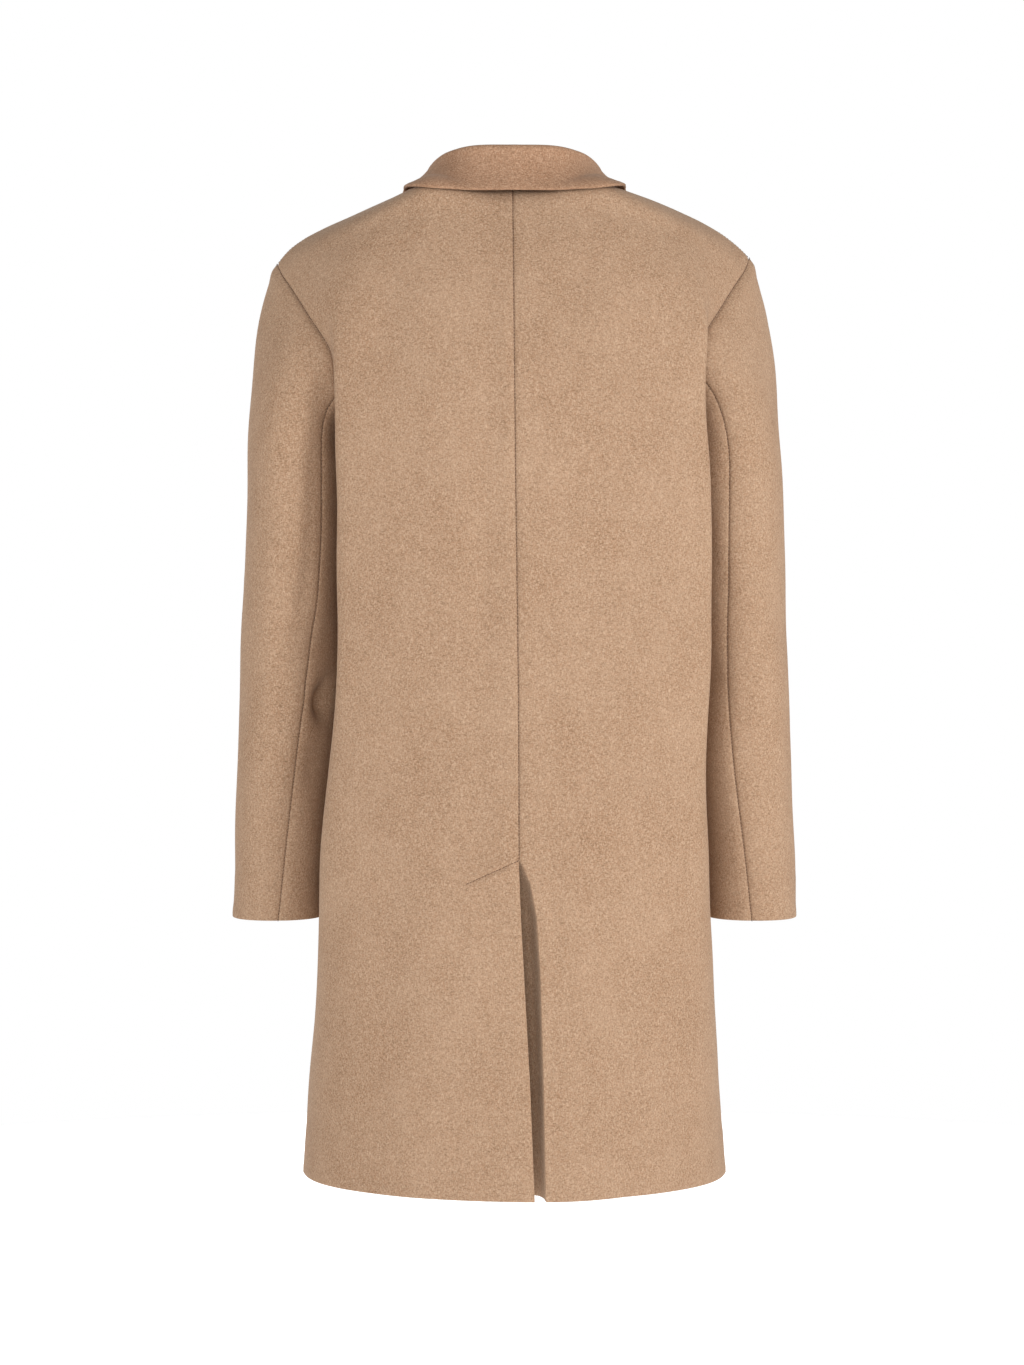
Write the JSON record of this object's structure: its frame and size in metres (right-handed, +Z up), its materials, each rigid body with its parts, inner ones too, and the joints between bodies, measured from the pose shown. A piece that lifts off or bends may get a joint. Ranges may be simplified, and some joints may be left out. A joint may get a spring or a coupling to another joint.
{
  "type": "single-breasted coat",
  "caption": "Knee-length tailored wool overcoat with turned collar, notch lapels, buttoned front, two-piece sleeves and a back vent, in its hollow worn form.",
  "frame": {"origin": "midway between the neck ends of the two shoulder seams, where the wearer's shoulders hold the coat", "axes": "+Z up, -Y the way the coat faces, +X the wearer's left"},
  "size_m": [0.553, 0.2912, 0.978],
  "materials": {
    "wool": "camel felted wool with a brushed nap",
    "horn": "dark brown polished button"
  },
  "bodies": {
    "root": {"back_left": "wool", "back_right": "wool", "front_left": "wool", "front_right": "wool", "sleeve_left_upper": "wool", "sleeve_left_under": "wool", "sleeve_right_upper": "wool", "sleeve_right_under": "wool", "lapel_left": "wool", "lapel_right": "wool", "collar": "wool", "button_1": "horn", "button_2": "horn", "button_3": "horn"}
  },
  "joints": []
}
